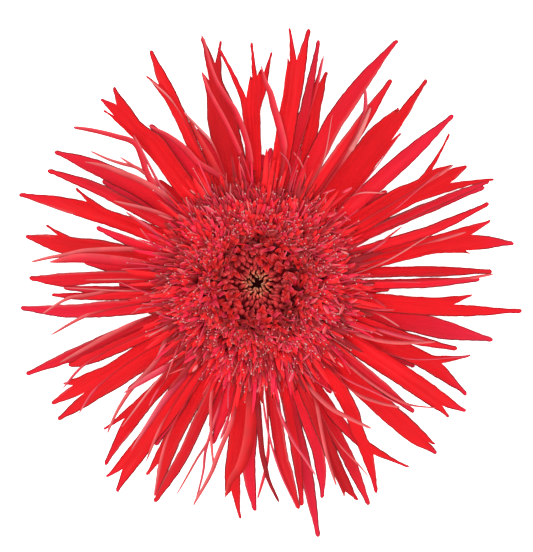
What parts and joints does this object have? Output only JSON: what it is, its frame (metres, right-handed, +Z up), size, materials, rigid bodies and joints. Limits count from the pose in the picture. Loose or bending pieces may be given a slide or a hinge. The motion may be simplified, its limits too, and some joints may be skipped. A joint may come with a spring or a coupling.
{
  "type": "gerbera daisy bloom",
  "caption": "Red spider gerbera daisy, a single cut bloom with a short stub of stalk, lying face up: forked narrow rays round a dense domed centre.",
  "frame": {"origin": "middle of the base of the bloom's box, on the surface that it lies on", "axes": "+Z up, out of the face of the flower; +X to the right and +Y to the top of the picture. The flower's own axis is parallel to Z, about 3 mm to the -X side of the origin."},
  "size_m": [0.121, 0.1222, 0.0397],
  "materials": {
    "stalk": "matte",
    "bracts": "matte",
    "rays": "satin",
    "trans": "satin",
    "disc": "satin",
    "buds": "satin",
    "centre": "satin"
  },
  "bodies": {
    "root": {"stem": "stalk", "involucre": "bracts", "ray_florets_lower": "rays", "ray_florets_middle": "rays", "ray_florets_upper": "rays", "trans_florets": "trans", "disc_florets": "disc", "disc_buds": "buds", "centre_buds": "centre"}
  },
  "joints": []
}
